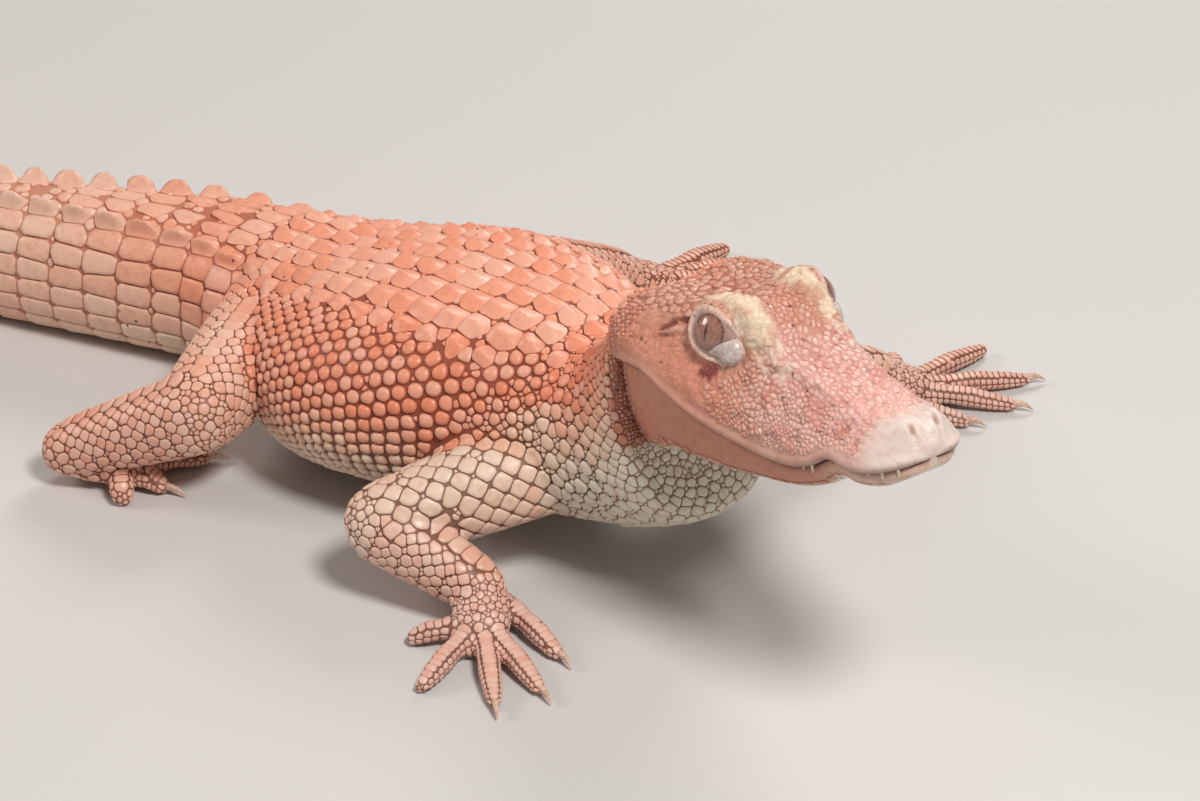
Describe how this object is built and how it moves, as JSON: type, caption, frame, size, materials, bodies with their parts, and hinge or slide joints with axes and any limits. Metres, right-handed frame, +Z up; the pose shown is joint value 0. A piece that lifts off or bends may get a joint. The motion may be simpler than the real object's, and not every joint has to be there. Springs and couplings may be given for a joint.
{
  "type": "american alligator model",
  "caption": "Life-size still model of a young, pale american alligator at rest with its head raised, on belly, hands, feet and tail.",
  "frame": {"origin": "on the floor, under the middle of the part's bounding box", "axes": "+X forward along the trunk, +Y to the animal's left, +Z up"},
  "size_m": [1.0624, 0.425, 0.1915],
  "materials": {
    "head_skin": "moist satin skin",
    "jaw_skin": "moist satin skin",
    "scaly_skin": "satin scales",
    "limb_skin": "satin scales",
    "eye": "wet gloss"
  },
  "bodies": {
    "root": {"head": "head_skin", "jaw": "jaw_skin", "eye_right": "eye", "eye_left": "eye", "neck": "scaly_skin", "torso_front": "scaly_skin", "torso_rear": "scaly_skin", "tail_1": "scaly_skin", "tail_2": "scaly_skin", "tail_3": "scaly_skin", "tail_4": "scaly_skin", "tail_5": "scaly_skin", "upper_arm_right": "limb_skin", "forearm_right": "limb_skin", "hand_right": "limb_skin", "thigh_right": "limb_skin", "shank_right": "limb_skin", "foot_right": "limb_skin", "upper_arm_left": "limb_skin", "forearm_left": "limb_skin", "hand_left": "limb_skin", "thigh_left": "limb_skin", "shank_left": "limb_skin", "foot_left": "limb_skin"}
  },
  "joints": []
}
